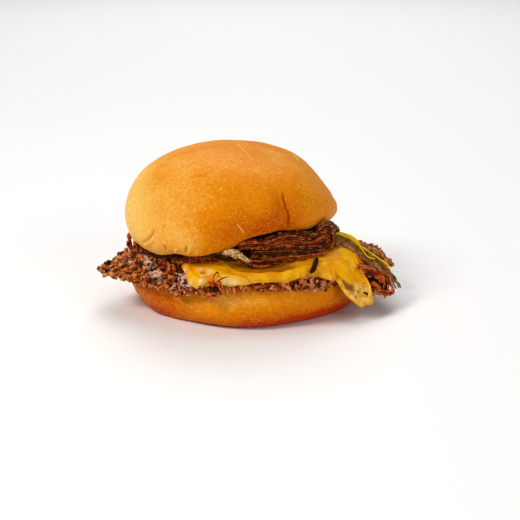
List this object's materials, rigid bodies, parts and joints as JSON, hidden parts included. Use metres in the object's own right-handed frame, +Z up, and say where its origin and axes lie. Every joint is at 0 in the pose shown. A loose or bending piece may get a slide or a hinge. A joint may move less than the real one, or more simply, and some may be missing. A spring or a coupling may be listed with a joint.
{
  "type": "onion burger",
  "caption": "Soft round roll, cut in half, holding a thin crisp-edged beef patty, a melted cheese slice that runs down one corner, and a bundle of fried onions.",
  "frame": {"origin": "centre of the flat underside of the lower half of the roll", "axes": "+Z up, +X to the right of the side that shows most cheese, +Y away from that side"},
  "size_m": [0.1512, 0.1235, 0.0776],
  "materials": {
    "bread": "satin baked crust, golden orange, paler on the left side and browner low at the front",
    "beef": "dark brown seared crust with small glossy lumps",
    "cheese": "smooth melted yellow with a soft gloss",
    "fried_onion": "dark brown strands with tan rims, moist",
    "dark_onion": "olive brown, glossy, with a thin yellow rim",
    "amber_onion": "red amber, thin and glossy, with lighter rims"
  },
  "bodies": {
    "root": {"bun_heel": "bread", "bun_crown": "bread", "patty": "beef", "cheese": "cheese", "onions": "fried_onion", "onion_petal": "dark_onion", "onion_fringe": "amber_onion", "crisp_threads": "amber_onion", "onion_loop": "fried_onion"}
  },
  "joints": []
}
